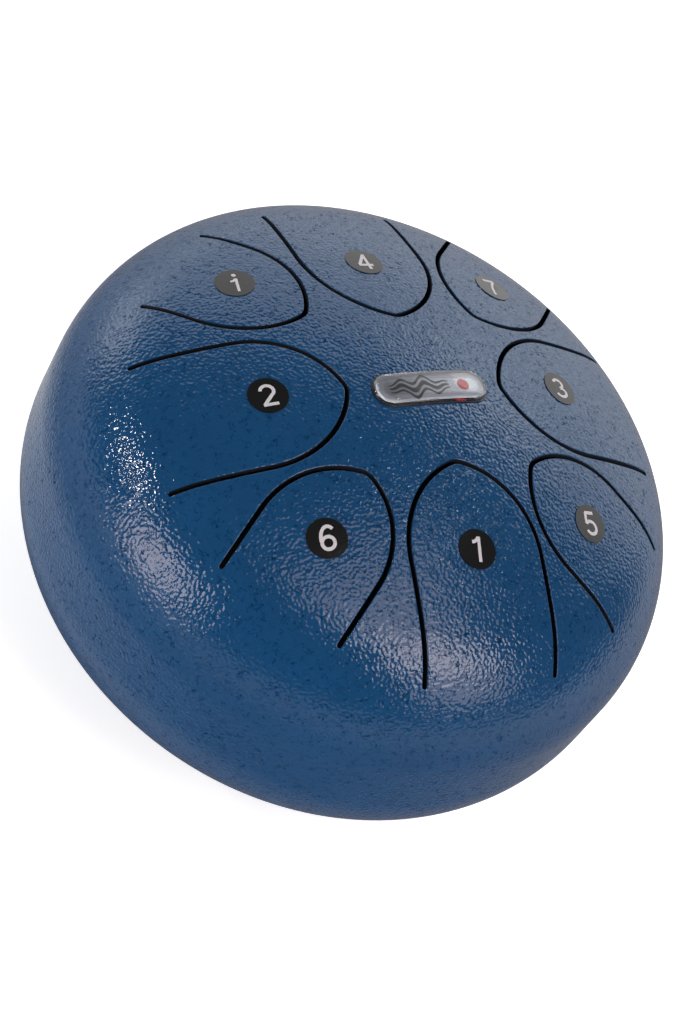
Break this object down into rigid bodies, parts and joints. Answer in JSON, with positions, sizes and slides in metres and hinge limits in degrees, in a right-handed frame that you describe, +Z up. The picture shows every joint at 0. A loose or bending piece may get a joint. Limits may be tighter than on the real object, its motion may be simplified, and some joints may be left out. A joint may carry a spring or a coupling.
{
  "type": "steel tongue drum",
  "caption": "Small steel tongue drum: two domed shells welded at the rim, with tuned tongues cut in the top, number labels, a sound hole below and rubber feet.",
  "frame": {"origin": "centre of the floor area under the drum, on the drum's axis", "axes": "+Z up along the drum's axis; the lowest note, note 1, points toward -Y, and +X is to the right seen from note 1's side"},
  "size_m": [0.155, 0.155, 0.0978],
  "materials": {
    "blue_hammered_steel": "deep blue hammered lacquer on pressed steel, glossy over a fine dimpled skin",
    "weld_steel": "dark heat-tinted weld metal",
    "label_vinyl": "black printed vinyl with a white numeral",
    "badge_foil": "silver-grey printed foil with a dark border and plain wave lines",
    "clear_resin": "clear poured resin dome",
    "foot_rubber": "matt black rubber"
  },
  "bodies": {
    "drum": {"top_shell": "blue_hammered_steel", "bottom_shell": "blue_hammered_steel", "seam_weld": "weld_steel", "badge_foil": "badge_foil", "badge_dome": "clear_resin", "foot_left": "foot_rubber", "foot_rear": "foot_rubber", "foot_right": "foot_rubber"},
    "note_1": {"tongue_1": "blue_hammered_steel", "label_1": "label_vinyl"},
    "note_2": {"tongue_2": "blue_hammered_steel", "label_2": "label_vinyl"},
    "note_3": {"tongue_3": "blue_hammered_steel", "label_3": "label_vinyl"},
    "note_4": {"tongue_4": "blue_hammered_steel", "label_4": "label_vinyl"},
    "note_5": {"tongue_5": "blue_hammered_steel", "label_5": "label_vinyl"},
    "note_6": {"tongue_6": "blue_hammered_steel", "label_6": "label_vinyl"},
    "note_7": {"tongue_7": "blue_hammered_steel", "label_7": "label_vinyl"},
    "note_high_1": {"tongue_high_1": "blue_hammered_steel", "label_high_1": "label_vinyl"}
  },
  "joints": [
    {"name": "note_1_flex", "type": "hinge", "parent": "drum", "child": "note_1", "pos_m": [0, -0.06615, 0.07788], "axis": [-1, 0, 0], "range_deg": [-0.8, 0.8], "stiffness_Nm_per_rad": 120},
    {"name": "note_2_flex", "type": "hinge", "parent": "drum", "child": "note_2", "pos_m": [-0.06265, 0, 0.08074], "axis": [0, 1, 0], "range_deg": [-0.8, 0.8], "stiffness_Nm_per_rad": 130},
    {"name": "note_3_flex", "type": "hinge", "parent": "drum", "child": "note_3", "pos_m": [0.06095, 0, 0.08185], "axis": [0, -1, 0], "range_deg": [-0.8, 0.8], "stiffness_Nm_per_rad": 130},
    {"name": "note_4_flex", "type": "hinge", "parent": "drum", "child": "note_4", "pos_m": [0, 0.05985, 0.08249], "axis": [1, 0, 0], "range_deg": [-0.8, 0.8], "stiffness_Nm_per_rad": 140},
    {"name": "note_5_flex", "type": "hinge", "parent": "drum", "child": "note_5", "pos_m": [0.04621, -0.04621, 0.07877], "axis": [-0.7071, -0.7071, 0], "range_deg": [-0.8, 0.8], "stiffness_Nm_per_rad": 135},
    {"name": "note_6_flex", "type": "hinge", "parent": "drum", "child": "note_6", "pos_m": [-0.04536, -0.04536, 0.07977], "axis": [-0.7071, 0.7071, 0], "range_deg": [-0.8, 0.8], "stiffness_Nm_per_rad": 145},
    {"name": "note_7_flex", "type": "hinge", "parent": "drum", "child": "note_7", "pos_m": [0.04402, 0.04402, 0.08115], "axis": [0.7071, -0.7071, 0], "range_deg": [-0.8, 0.8], "stiffness_Nm_per_rad": 155},
    {"name": "note_high_1_flex", "type": "hinge", "parent": "drum", "child": "note_high_1", "pos_m": [-0.0443, 0.0443, 0.08087], "axis": [0.7071, 0.7071, 0], "range_deg": [-0.8, 0.8], "stiffness_Nm_per_rad": 155}
  ]
}
